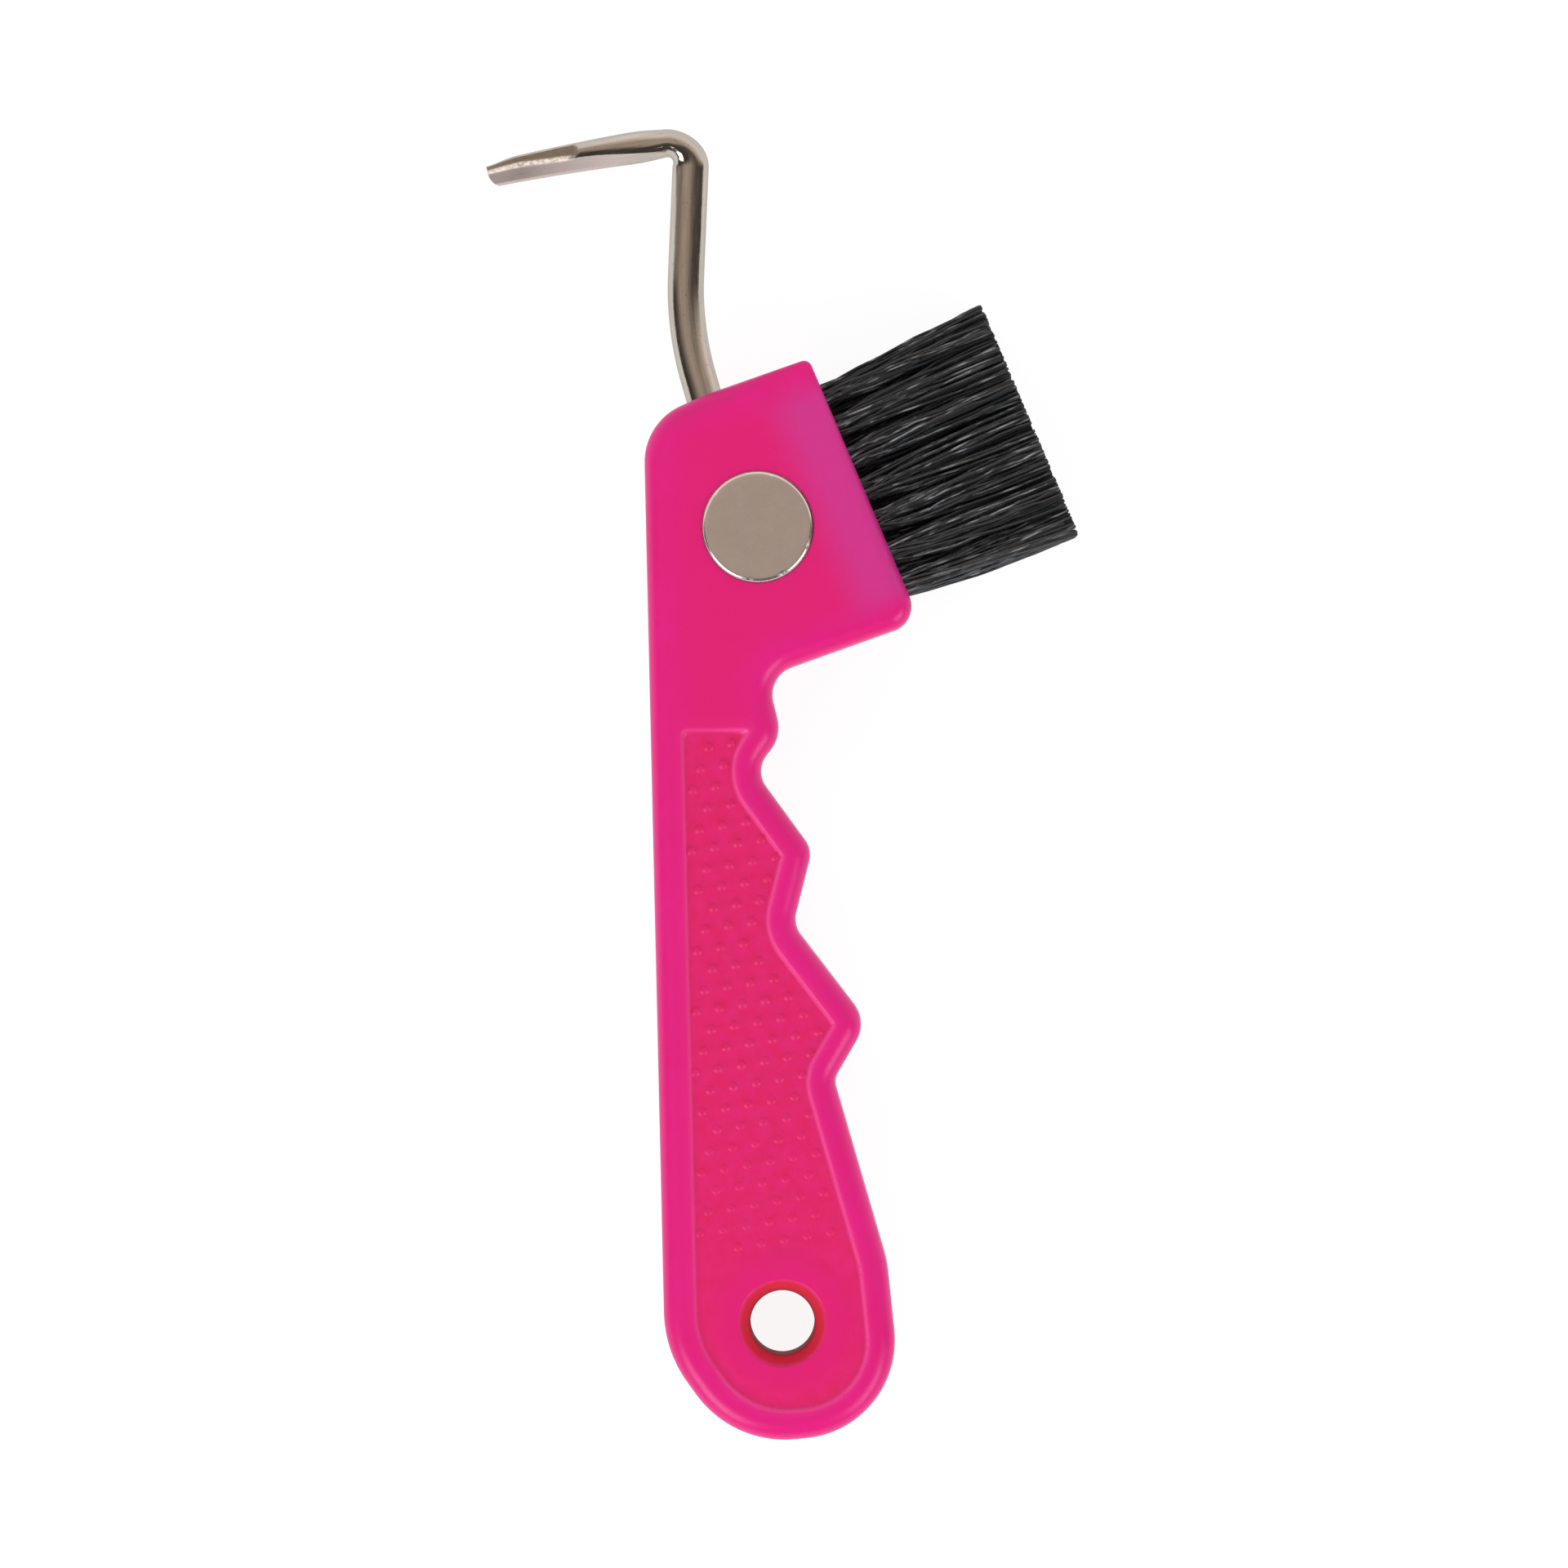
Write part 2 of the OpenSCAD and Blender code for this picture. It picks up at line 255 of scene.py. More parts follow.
# ---------------------------------------------------------------------------------------------
# Shape of one face of the handle, as the depth of each point below the face
# ---------------------------------------------------------------------------------------------
WALL_FROM, WALL_TO = -0.1, 0.48  # where the panel's wall starts and ends, from its outline inwards


def panel_distance(points):
    """Distance inside the outline of the sunk panel, with softened corners."""
    side = inside_distance(points - [PANEL_SHIFT, 0.0]) - RIM_W
    return smooth_min(side, PANEL_TOP - points[:, 1], 1.2)


def pimple_centres():
    """Places of the pimples that are whole inside the panel and above its plain end."""
    centres = []
    for row in range(-2, 26):
        for i in range(-4, 15):
            centres.append(PIMPLE_START + row * PIMPLE_DOWN + i * PIMPLE_ALONG)
    centres = np.array(centres)
    keep = panel_distance(centres) > PIMPLE_R + PIMPLE_MARGIN
    return centres[keep & (centres[:, 1] > PIMPLE_END)]


PIMPLES = pimple_centres()


def pimple_height(points):
    """Height of each point above the panel's floor. The pimples get lower, as worn, down the grip."""
    height = np.zeros(len(points))
    for centre in PIMPLES:
        near = np.abs(points - centre).max(1) < PIMPLE_R * 1.4
        r = np.linalg.norm(points[near] - centre, axis=1) / PIMPLE_R
        worn = 1.0 - 0.5 * float(smoothstep((-25.0 - centre[1]) / 30.0))
        height[near] = np.maximum(height[near], PIMPLE_H * worn * smoothstep((1.08 - r) / 0.66))
    return height


def face_depth(points):
    """Depth of each point of a face: the sunk panel, less the boss round the hole and the pimples."""
    sunk = PANEL_DEPTH * smoothstep((panel_distance(points) - WALL_FROM) / (WALL_TO - WALL_FROM))
    from_hole = np.linalg.norm(points - HOLE, axis=1)
    boss = BOSS_H * smoothstep((BOSS_R + 1.2 - from_hole) / 2.4)
    return sunk - np.minimum(boss, sunk) - pimple_height(points)


def circle_loop(centre, r, count):
    a = np.arange(count) * 2 * math.pi / count
    return centre + r * np.stack([np.cos(a), np.sin(a)], 1)


def panel_contour(level):
    """Points where the panel's outline is moved inwards by level, evenly spread."""
    ring = OUT_POS - OUT_NRM * (RIM_W + level) + [PANEL_SHIFT, 0.0]
    ring = np.concatenate([ring, (ring + np.roll(ring, -1, 0)) / 2])
    top = np.stack([np.arange(-16, 2, 0.4), np.full(45, PANEL_TOP - level)], 1)
    ring = np.concatenate([ring, top])
    probe = 0.02
    for _ in range(4):
        gap = level - panel_distance(ring)
        rise = [panel_distance(ring + d) - panel_distance(ring - d) for d in ([probe, 0], [0, probe])]
        slope = np.stack([r / (2 * probe) for r in rise], 1)
        ring = ring + gap[:, None] * slope / np.maximum((slope**2).sum(1), 0.2)[:, None]
    ring = ring[np.abs(panel_distance(ring) - level) < 0.015]
    spacing = 0.36
    kept = {}
    for x, y in ring:
        kept.setdefault((round(x / spacing), round(y / spacing)), (x, y))
    return np.array(list(kept.values()))


def sheet_points(with_magnet):
    """Points inside one face: rows along the panel's wall, rings on each pimple, and a plain fill."""
    rows = [panel_contour(d) for d in (-0.3, -0.14, -0.05, 0.02, 0.09, 0.16, 0.23, 0.3, 0.37, 0.46, 0.65)]
    for centre in PIMPLES:
        rows.append(centre[None])
        for r, count in ((0.2, 6), (0.33, 10), (0.44, 12), (0.55, 12), (0.66, 14), (0.77, 14)):
            rows.append(circle_loop(centre, r / 0.7 * PIMPLE_R, count))
    for r in np.arange(HOLE_R + FLARE + 0.6, BOSS_R + 2.0, 0.5):
        rows.append(circle_loop(HOLE, r, 64))
    dense = np.concatenate(rows)
    step = 1.5
    xs = np.arange(HANDLE_LOW[0], HANDLE_HIGH[0], step)
    ys = np.arange(HANDLE_LOW[1], HANDLE_HIGH[1], step)
    grid = np.stack(np.meshgrid(xs, ys), -1).reshape(-1, 2) + [0.31, 0.17]
    cell = 0.8
    cells = {(int(x // cell), int(y // cell)) for x, y in dense}
    free = [
        all((int(x // cell) + i, int(y // cell) + j) not in cells for i in (-1, 0, 1) for j in (-1, 0, 1))
        for x, y in grid
    ]
    points = np.concatenate([dense, grid[free]])
    keep = inside_distance(points) > EDGE_R + 0.35
    keep &= np.linalg.norm(points - HOLE, axis=1) > HOLE_R + FLARE + 0.35
    if with_magnet:
        keep &= np.linalg.norm(points - MAGNET, axis=1) > MAGNET_R + 0.8
    return points[keep]


def face_sheet(shell, outer, holes, points, z_of):
    """Fills between the outer loop and the holes, through the inner points. Loops are vertex indices."""
    loops = [outer, *holes]
    flat = [shell.verts[i][:2] for loop in loops for i in loop]
    edges, start = [], 0
    for loop in loops:
        edges += [(start + i, start + (i + 1) % len(loop)) for i in range(len(loop))]
        start += len(loop)
    inner = shell.add(np.column_stack([points, z_of(points)]))
    index = [i for loop in loops for i in loop] + inner
    coords = [Vector(p) for p in flat] + [Vector(p) for p in points.tolist()]
    verts, _, faces, origin, _, _ = delaunay_2d_cdt(coords, edges, [], 0, 1e-6)
    where = [index[o[0]] if o else None for o in origin]
    centres = np.array([sum((verts[i] for i in f), Vector((0, 0))) / len(f) for f in faces])
    keep = inside_distance(centres, np.array([shell.verts[i][:2] for i in outer])) > 0.001
    for hole in holes:
        keep &= inside_distance(centres, np.array([shell.verts[i][:2] for i in hole])) < -0.001
    for face, wanted in zip(faces, keep):
        if wanted:
            shell.faces.append(tuple(where[i] for i in face))


# ---------------------------------------------------------------------------------------------
# Handle
# ---------------------------------------------------------------------------------------------
EDGE_STEPS = 9


def build_handle():
    """The whole moulding but for the tuft holes and the bar's entry, which are cut out of it later."""
    shell = Shell()
    angles = np.radians(np.linspace(0, 90, EDGE_STEPS + 1))

    def edge_ring(a, top):
        inset = OUT_EDGE * (1 - math.sin(a))
        depth = OUT_EDGE * (1 - math.cos(a))
        flat = OUT_POS - OUT_NRM * inset[:, None]
        return shell.add(np.column_stack([flat, THICK - depth if top else depth]))

    top_rings = [edge_ring(a, True) for a in angles]
    low_rings = [edge_ring(a, False) for a in angles]
    # The faint ridge round the side where the two halves of the mould meet.
    split = []
    for away, proud in PARTING_LINE:
        flat = OUT_POS + OUT_NRM * proud
        split.append(shell.add(np.column_stack([flat, np.full(len(flat), MID_Z + away)])))
    stack = top_rings + split + low_rings[::-1]
    for a, b in zip(stack, stack[1:]):
        shell.bridge(a, b)

    # Hanging hole: a straight bore that flares out to a softened mouth in each face.
    sink = PANEL_DEPTH - BOSS_H
    profile = [(FLARE + 0.2, 0.0), (FLARE + 0.09, 0.015), (FLARE + 0.0, 0.07), (FLARE - 0.06, 0.15)]
    profile += [(FLARE * (1 - t), FLARE_DEPTH * t) for t in (0.12, 0.3, 0.5, 0.7, 0.88)]
    profile += [(0.09, FLARE_DEPTH - 0.1), (0.03, FLARE_DEPTH + 0.1), (0.0, FLARE_DEPTH + 0.35)]
    rings = []
    for side in (1, -1):
        part = []
        for wide, depth in profile:
            z = THICK - sink - depth if side > 0 else sink + depth
            part.append(shell.add([(x, y, z) for x, y in circle_loop(HOLE, HOLE_R + wide, 96)]))
        rings.append(part)
    walls = rings[0] + rings[1][::-1]
    for a, b in zip(walls, walls[1:]):
        shell.bridge(a, b)

    # Seat of the magnet: a soft lip, a wall and a flat floor.
    seat_r, lip = MAGNET_R + SEAT_GAP, 0.3
    seat = []
    for a in np.radians(np.linspace(0, 90, 6)):
        r = seat_r + lip * (1 - math.sin(a))
        z = THICK - lip * (1 - math.cos(a))
        seat.append(shell.add([(x, y, z) for x, y in circle_loop(MAGNET, r, 96)]))
    seat.append(shell.add([(x, y, MAGNET_LOW[2]) for x, y in circle_loop(MAGNET, seat_r, 96)]))
    for a, b in zip(seat, seat[1:]):
        shell.bridge(a, b)
    shell.faces.append(tuple(seat[-1]))

    top_points = sheet_points(with_magnet=True)
    face_sheet(shell, top_rings[0], [rings[0][0], seat[0]], top_points, lambda p: THICK - face_depth(p))
    low_points = sheet_points(with_magnet=False)
    face_sheet(shell, low_rings[0], [rings[1][0]], low_points, face_depth)
    return shell.build("handle_moulding")


def tube_cutter(name, frames, r, length, sides=28):
    """Closed straight tubes, one for each (start, direction, side) in frames, as one mesh."""
    shell = Shell()
    for start, along, side in frames:
        up = np.cross(along, side)
        ends = []
        for t in (0.0, length):
            a = np.arange(sides) * 2 * math.pi / sides
            ring = start + along * t + r * (np.cos(a)[:, None] * side + np.sin(a)[:, None] * up)
            ends.append(shell.add(ring))
        shell.bridge(*ends)
        shell.faces.append(tuple(ends[0]))
        shell.faces.append(tuple(ends[1][::-1]))
    return shell.build(name)


def cut(piece, cutter):
    """Takes the cutter's solids out of the piece, and removes the cutter."""
    modifier = piece.modifiers.new("cut", "BOOLEAN")
    modifier.operation = "DIFFERENCE"
    modifier.solver = "MANIFOLD"
    modifier.object = cutter
    graph = bpy.context.evaluated_depsgraph_get()
    mesh = bpy.data.meshes.new_from_object(piece.evaluated_get(graph))
    piece.modifiers.clear()
    old = piece.data
    piece.data = mesh
    mesh.name = old.name + "_cut"
    bpy.data.meshes.remove(old)
    bpy.data.objects.remove(cutter)
    mesh.shade_smooth()
    mesh.set_sharp_from_angle(angle=math.radians(SHARP_DEG))


def xyz(flat, z):
    return np.array([flat[0], flat[1], z])


def tuft_frames():
    """(row, number, foot, lean along the seat, lean along Z) of every tuft."""
    for row, (name, count) in enumerate(ROWS):
        middle = (count + 1) / 2
        for i in range(1, count + 1):
            foot = xyz(SEAT_MID + (i - middle) * TUFT_PITCH * SEAT_DIR, MID_Z + (1 - row) * ROW_PITCH)
            lean = math.radians(TUFT_LEAN * (i - middle) / (middle - 1))
            yield name, i, foot, lean, math.radians(ROW_LEAN * (1 - row))


# Route of the pick, as in the CAD model: start of the long bend, then headings from +X.
PICK_START = np.array([-11.6, 56.0])
BAR_R = 2.5
ARM_HALF, ARM_SWELL, ARM_TAPER = 1.95, 0.38, 0.6
SHANK_HEADING, UPRIGHT_HEADING, ARM_HEADING, TIP_HEADING = 106.0, 87.6, 188.0, 192.5
LONG_BEND_R, HOOK_BEND_R = 44.0, 3.2
UPRIGHT_LEN, ARM_LEN = 14.8, 24.6
LONG_BEND_STEPS, UPRIGHT_STEPS, HOOK_STEPS, ARM_STEPS = 28, 29, 36, 120


def heading(a):
    """The direction at a degrees from +X."""
    a = math.radians(a)
    return np.array([math.cos(a), math.sin(a)])


# ---------------------------------------------------------------------------------------------
# Pieces
# ---------------------------------------------------------------------------------------------
# The handle's cutters: their slack round the tuft or bar, and how far they reach past the surface.
TUFT_SLACK, BAR_SLACK = 0.08, 0.25
TUFT_CUT_PAST, BAR_CUT_PAST = 2.0, 3.0
BAR_CUT_DEPTH = 5.0


def make_handle():
    """The handle with its holes cut, and how each of its points is to be coloured."""
    piece = build_handle()
    out = xyz(SEAT_OUT, 0.0)
    along = xyz(SEAT_DIR, 0.0)
    holes = [(foot - out * TUFT_HOLE_DEPTH, out, along) for _, _, foot, _, _ in tuft_frames()]
    cut(piece, tube_cutter("tuft_holes", holes, TUFT_R + TUFT_SLACK, TUFT_HOLE_DEPTH + TUFT_CUT_PAST))
    way = xyz(heading(SHANK_HEADING), 0.0)
    side = np.cross(way, [0.0, 0.0, 1.0])
    entry = xyz(PICK_START, MID_Z) - way * BAR_CUT_DEPTH
    cut_len = BAR_CUT_DEPTH + BAR_CUT_PAST
    cut(piece, tube_cutter("bar_entry", [(entry, way, side)], BAR_R + BAR_SLACK, cut_len, 48))
    points = mesh_points(piece.data)
    flat = points[:, :2].astype(float)
    near_face = np.minimum(points[:, 2], THICK - points[:, 2]) < PANEL_DEPTH + 0.3
    into_panel = panel_distance(flat)
    # The sunk panel is made rougher and painted a mottled redder tone, which stands in for the lesser
    # sheen it catches.
    sunk = smoothstep((into_panel + 0.1) / 0.7) * near_face
    # Painted highlight: a paler band on the panel's wall, stronger on the right, stands in for the light
    # that the wall's edge catches.
    right_highlight_share = smoothstep((flat[:, 0] - HANDLE_LOW[0] - 9.0) / 4.0)
    lip = np.exp(-(((into_panel - 0.12) / 0.3) ** 2)) * near_face * (0.5 + 0.5 * right_highlight_share)
    # Painted sheen: away from the rounded edges the plastic is painted a deeper red, so the edges keep a
    # paler magenta that stands in for their sheen.
    deep = smoothstep((inside_distance(flat) - 2.6) / 4.0)
    from_hole = np.linalg.norm(flat - HOLE, axis=1)
    sunk = sunk * (1 - smoothstep((BOSS_R + 2.5 - from_hole) / 5.0))
    depth = -((flat - SEAT_MID) @ SEAT_OUT)
    along_seat = np.abs((flat - SEAT_MID) @ SEAT_DIR)
    # Painted shade: round the tuft holes the plastic is painted a duller purple for the dark bristles seen
    # through it.
    tuft_shade = smoothstep((TUFT_HOLE_DEPTH + 3.0 - depth) / 7.0)
    tuft_shade = tuft_shade * smoothstep((17.5 - along_seat) / 4.0)
    # Painted shade: the hole's flared mouth is painted a darker red; it is also made rougher.
    in_hole = smoothstep((HOLE_R + FLARE + 0.15 - from_hole) / 0.75)
    # Painted shade: a dark red band where the straight bore begins, for the shadow down in the hole.
    bore_shade = smoothstep((HOLE_R + 0.3 - from_hole) / 0.25)
    set_attribute(piece.data, "sunk", sunk)
    set_attribute(piece.data, "lip", lip)
    set_attribute(piece.data, "deep", deep)
    set_attribute(piece.data, "in_hole", in_hole)
    set_attribute(piece.data, "bore_shade", bore_shade)
    set_attribute(piece.data, "tuft_shade_inside", tuft_shade)
    return piece


# Small knocks in the magnet's rim: degrees round from +X, half width in degrees, depth.
RIM_KNOCKS = ((298, 3.0, 0.09), (262, 1.6, 0.05), (75, 1.4, 0.04), (141, 2.0, 0.05), (338, 1.5, 0.04))


def make_magnet():
    """A plated disc with a chamfered rim that has small knocks in it, lathed round its own axis."""
    shell = Shell()
    low, high = MAGNET_LOW[2], MAGNET_HIGH[2]
    profile = [(MAGNET_R * t, high, 0.0) for t in (0.25, 0.5, 0.75, 0.9)]
    profile += [(MAGNET_R - 0.38, high, 0.0), (MAGNET_R - 0.3, high - 0.008, 0.3)]
    profile += [(MAGNET_R - 0.27, high - 0.025, 0.8), (MAGNET_R - 0.07, high - 0.165, 1.0)]
    profile += [(MAGNET_R - 0.03, high - 0.21, 0.8), (MAGNET_R - 0.005, high - 0.28, 0.4)]
    profile += [(MAGNET_R, high - 0.4, 0.0), (MAGNET_R, low + 0.3, 0.0), (MAGNET_R - 0.3, low, 0.0)]
    sides = 256
    turn = np.degrees(np.arange(sides) * 2 * math.pi / sides)
    knock = np.zeros(sides)
    for where, size, deep in RIM_KNOCKS:
        knock += deep * np.exp(-(((turn - where) / size) ** 2))
    rings = []
    for r, z, share in profile:
        flat = MAGNET + circle_loop(np.zeros(2), 1.0, sides) * (r - knock * share)[:, None]
        rings.append(shell.add(np.column_stack([flat, z - 0.8 * knock * share])))
    for a, b in zip(rings, rings[1:]):
        shell.bridge(a, b)
    shell.faces.append(tuple(rings[0]))
    shell.faces.append(tuple(rings[-1]))
    return shell.build("holding_magnet", 50)


def pick_route():
    """Stations along the bar: position, heading, half thickness in the plane, share of the arm passed."""
    route = []
    way = heading(SHANK_HEADING)
    for back in (9.0, 7.0, 5.0, 4.0, 3.0, 2.0, 1.0, 0.0):
        route.append((PICK_START - way * back, SHANK_HEADING, BAR_R, 0.0))
    mid = PICK_START + LONG_BEND_R * heading(SHANK_HEADING - 90)
    for k in range(1, LONG_BEND_STEPS + 1):
        a = SHANK_HEADING + (UPRIGHT_HEADING - SHANK_HEADING) * k / LONG_BEND_STEPS
        route.append((mid - LONG_BEND_R * heading(a - 90), a, BAR_R, 0.0))
    start = route[-1][0]
    for k in range(1, UPRIGHT_STEPS + 1):
        place = start + heading(UPRIGHT_HEADING) * UPRIGHT_LEN * k / UPRIGHT_STEPS
        route.append((place, UPRIGHT_HEADING, BAR_R, 0.0))
    mid = route[-1][0] + HOOK_BEND_R * heading(UPRIGHT_HEADING + 90)
    for k in range(1, HOOK_STEPS + 1):
        t = k / HOOK_STEPS
        a = UPRIGHT_HEADING + (ARM_HEADING - UPRIGHT_HEADING) * t
        blend = (1 - math.cos(math.pi * min(1.0, 1.3 * t))) / 2
        route.append((mid + HOOK_BEND_R * heading(a - 90), a, BAR_R + (ARM_HALF - BAR_R) * blend, 0.0))
    bend_r = ARM_LEN / math.radians(TIP_HEADING - ARM_HEADING)
    mid = route[-1][0] + bend_r * heading(ARM_HEADING + 90)
    for k in range(1, ARM_STEPS + 1):
        t = k / ARM_STEPS
        a = ARM_HEADING + (TIP_HEADING - ARM_HEADING) * t
        half = ARM_HALF + ARM_SWELL * math.sin(math.pi / 2 * min(1.0, 5 * t)) - ARM_TAPER * t
        route.append((mid + bend_r * heading(a - 90), a, half, t))
    return route


# Where the ridge is across the arm, from its inner edge (-1) to its outer edge (1), along the arm.
RIDGE_ALONG = (0.0, 0.21, 0.40, 0.67, 0.81, 1.0)
RIDGE_ACROSS = (-0.60, -0.34, -0.10, 0.10, 0.22, 0.26)
RIDGE_Z = 2.6
INNER_EDGE_Z, INNER_EDGE_R = 0.3, 0.35
CROWN_SHARE, CROWN_SLOPE = 0.35, 0.24  # the gentle crown beyond the ridge, before the section turns down
GRIND_TILT = 24.0
BLADE_FROM = 0.5
TIP_NARROWING = 0.28  # share that the outer side draws in by at the end
CORNER_FROM, CORNER_WIDE, CORNER_LONG = 0.2, 2.05, 1.9  # the rounded inner corner of the end


def arm_height(across, half, wide, arm):
    """Height of the arm above its middle plane, and how dull, how near the ridge and how pale it is."""
    round_z = wide * math.sqrt(max(0.0, 1 - across * across))
    if arm <= 0:
        return round_z, 0.0, 0.0, 0.0
    ridge = float(np.interp(arm, RIDGE_ALONG, RIDGE_ACROSS))
    from_inner = (across + 1) * half
    to_ridge = (ridge + 1) * half
    beyond = from_inner - to_ridge
    ground = 0.0
    pale = float(smoothstep(-beyond / 0.2) * smoothstep((arm - 0.1) / 0.3))
    if beyond < 0:
        nose = math.sqrt(1 - (1 - min(1.0, from_inner / INNER_EDGE_R)) ** 2)
        z = (INNER_EDGE_Z + (RIDGE_Z - INNER_EDGE_Z) * from_inner / to_ridge) * nose
    else:
        outer = (1 - ridge) * half
        crown = CROWN_SHARE * outer
        top = RIDGE_Z + CROWN_SLOPE * crown
        if beyond < crown:
            z = top - CROWN_SLOPE * (crown - beyond) ** 2 / crown
        else:
            z = top * math.sqrt(max(0.0, 1 - ((beyond - crown) / (outer - crown)) ** 2))
        flat_z = RIDGE_Z - beyond * math.tan(math.radians(GRIND_TILT))
        flat_z += max(0.0, BLADE_FROM - arm) * ARM_LEN
        if flat_z < z:
            z = flat_z
            ground = float(smoothstep((beyond - 0.15) / 0.3))
    on_ridge = math.exp(-((beyond / 0.36) ** 4)) * float(smoothstep((arm - BLADE_FROM) / 0.06))
    share = float(smoothstep(arm / 0.16))
    return round_z + (z - round_z) * share, ground, on_ridge, pale


def make_pick():
    """The bent bar, with its forged arm and the ground blade at the tip."""
    shell = Shell()
    sides = 120
    route = pick_route()
    steps = [np.linalg.norm(b[0] - a[0]) for a, b in zip(route, route[1:])]
    passed = np.concatenate([[0.0], np.cumsum(steps)])
    end_way = heading(TIP_HEADING - 1)
    end_up = heading(TIP_HEADING - 1 - 90)
    end_point = route[-1][0] - 0.03 * end_way
    loops, looks = [], []
    for pos, a, half, arm in route:
        right = heading(a - 90)
        wide = half if half >= BAR_R else BAR_R * BAR_R / half
        ring = []
        for k in range(sides):
            b = 2 * math.pi * (k + 0.5) / sides - math.pi / 2
            z, *look = arm_height(math.cos(b), half, wide, arm)
            across = half * math.cos(b)
            if across > 0:
                across *= 1 - TIP_NARROWING * float(smoothstep((arm - 0.8) / 0.2)) ** 1.5
            flat = pos + right * across
            # The end is square at its outer side and rounded off towards its inner side.
            up = float((flat - end_point) @ end_up)
            corner = min(1.0, max(0.0, (CORNER_FROM - up) / CORNER_WIDE))
            limit = -CORNER_LONG * (1 - math.sqrt(1 - corner * corner))
            beyond = float((flat - end_point) @ end_way) - limit
            if beyond > 0:
                flat = flat - end_way * beyond
            ring.append((flat[0], flat[1], MID_Z + math.copysign(z, math.sin(b))))
            looks.append(look)
        loops.append(shell.add(ring))
    for a, b in zip(loops, loops[1:]):
        shell.bridge(a, b)
    shell.faces.append(tuple(loops[0]))
    shell.faces.append(tuple(loops[-1]))
    piece = shell.build("bent_pick", 50)
    mesh = piece.data
    for name, values in zip(("ground", "ridge", "pale"), zip(*looks)):
        set_attribute(mesh, name, values)
    layer = mesh.uv_layers.new(name="UVMap")
    for poly in mesh.polygons:
        columns = [mesh.loops[i].vertex_index % sides for i in poly.loop_indices]
        wraps = 0 in columns and sides - 1 in columns
        for i in poly.loop_indices:
            v = mesh.loops[i].vertex_index
            column = v % sides
            u = (column if column or not wraps else sides) / sides
            layer.data[i].uv = (u, passed[v // sides] / passed[-1])
    return piece


FILAMENT_R = 0.205
FILAMENTS = 60
FILAMENT_STEPS = 18
FILAMENT_START = -1.5  # below the mouth of the tuft hole
GOLDEN_TURN = 2.39996
HALF_BLOCK = 17.0  # half the length of the brush at its cut ends
HALF_DEPTH = 8.5  # half the depth of the brush at its cut ends, along Z
BLOCK_CORNER = 1.6  # how near the ends of the block the filaments start to get shorter
TIP_SPREAD = (2.75, 3.3)  # how far from the tuft's middle its ends reach, along the seat and along Z
STRAY_SHARE = 0.12  # share of the filaments that stray further than the others


def filament_path(k, foot, number, middle, lean, row_lean):
    """One filament, slightly crimped, from its place in the hole to its place in the block of cut ends."""
    r = (TUFT_R - FILAMENT_R) * math.sqrt((k + 0.5) / FILAMENTS)
    turn = k * GOLDEN_TURN + rng.uniform(-0.2, 0.2)
    root = np.array([r * math.cos(turn), r * math.sin(turn)])
    unit = root / (TUFT_R - FILAMENT_R)
    square = unit / max(0.35, np.abs(unit).max() / max(0.05, np.linalg.norm(unit)))
    stray = 1.0 if rng.random() < STRAY_SHARE else 0.0
    mixed = square * 0.5 + rng.uniform(-1, 1, 2) * (0.58 + 0.3 * stray)
    tip = mixed * TIP_SPREAD + [math.tan(lean) * BRISTLE_LEN, math.tan(row_lean) * BRISTLE_LEN]
    middle_along = (number - middle) * TUFT_PITCH
    tip[0] = min(max(tip[0] + middle_along, -HALF_BLOCK), HALF_BLOCK) - middle_along
    above = foot[2] - MID_Z
    tip[1] = min(max(tip[1] + above, -HALF_DEPTH), HALF_DEPTH) - above
    off_middle = abs(tip[0] + middle_along)
    corner = max(0.0, off_middle - (HALF_BLOCK - BLOCK_CORNER)) / BLOCK_CORNER
    length = BRISTLE_LEN - 0.1 - 0.15 * corner**2 - abs(rng.normal(0, 0.2))
    length -= rng.random() ** 16 * 1.6
    crimp, crimp_2 = rng.uniform(0.05, 0.17), rng.uniform(0.02, 0.06)
    wave, wave_2 = rng.uniform(6.5, 11.0), rng.uniform(2.6, 4.2)
    phase, phase_2, way = rng.uniform(0, 2 * math.pi, 3)
    bow = rng.normal(0, 0.3, 2)
    out, along, up = xyz(SEAT_OUT, 0.0), xyz(SEAT_DIR, 0.0), np.array([0.0, 0.0, 1.0])
    # The outermost filaments run straight to the corners of the block, the others fill it sooner.
    power = 2.4 - 1.2 * float(smoothstep(off_middle / HALF_BLOCK / 0.3 - 2.3))
    path = []
    for j in range(FILAMENT_STEPS + 1):
        s = FILAMENT_START + (length - FILAMENT_START) * j / FILAMENT_STEPS
        free = max(0.0, s)
        spread = 1 - (1 - min(1.0, free / BRISTLE_LEN)) ** power
        grow = min(1.0, free / 3.0)
        side = crimp * math.sin(2 * math.pi * s / wave + phase)
        side += crimp_2 * math.sin(2 * math.pi * s / wave_2 + phase_2)
        off = root + (tip - root) * spread + bow * math.sin(math.pi * spread)
        off = off + side * grow * np.array([math.cos(way), math.sin(way)])
        path.append(foot + out * s + along * off[0] + up * off[1])
    return np.array(path)


